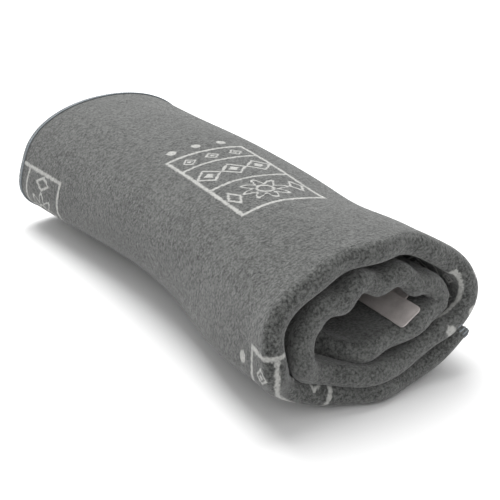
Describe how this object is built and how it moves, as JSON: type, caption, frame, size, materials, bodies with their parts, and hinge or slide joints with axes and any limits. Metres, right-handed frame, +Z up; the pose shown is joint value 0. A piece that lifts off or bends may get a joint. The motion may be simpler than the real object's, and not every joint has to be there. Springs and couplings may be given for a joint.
{
  "type": "rolled fleece throw",
  "caption": "Soft fleece throw folded into a long strip and rolled up, lying on its side, with overlocked edges, a loose outer tail and a small folded suede label.",
  "frame": {"origin": "on the floor under the middle of the roll", "axes": "+Z up; Y along the roll, folded end at -Y, hemmed end at +Y; X across the roll, loose tail at +X"},
  "size_m": [0.1658, 0.385, 0.1038],
  "materials": {
    "fleece": "matte",
    "hem_thread": "matte",
    "label_suede": "matte",
    "label_thread": "matte"
  },
  "bodies": {
    "roll": {"fleece_roll": "fleece", "overlock_outer": "hem_thread", "overlock_inner": "hem_thread", "overlock_core": "hem_thread"},
    "tail": {"fleece_tail": "fleece", "overlock_tail": "hem_thread"},
    "label": {"label_front_leaf": "label_suede", "label_back_leaf": "label_suede", "label_seam_thread": "label_thread"}
  },
  "joints": [
    {"name": "tail_lift", "type": "hinge", "parent": "roll", "child": "tail", "pos_m": [0.0382, 0, 0], "axis": [0, 1, 0], "range_deg": [0, 16]},
    {"name": "label_flex", "type": "hinge", "parent": "roll", "child": "label", "pos_m": [0.017, -0.1395, 0.0465], "axis": [-0.848, 0, -0.5299], "range_deg": [0, 15]}
  ]
}
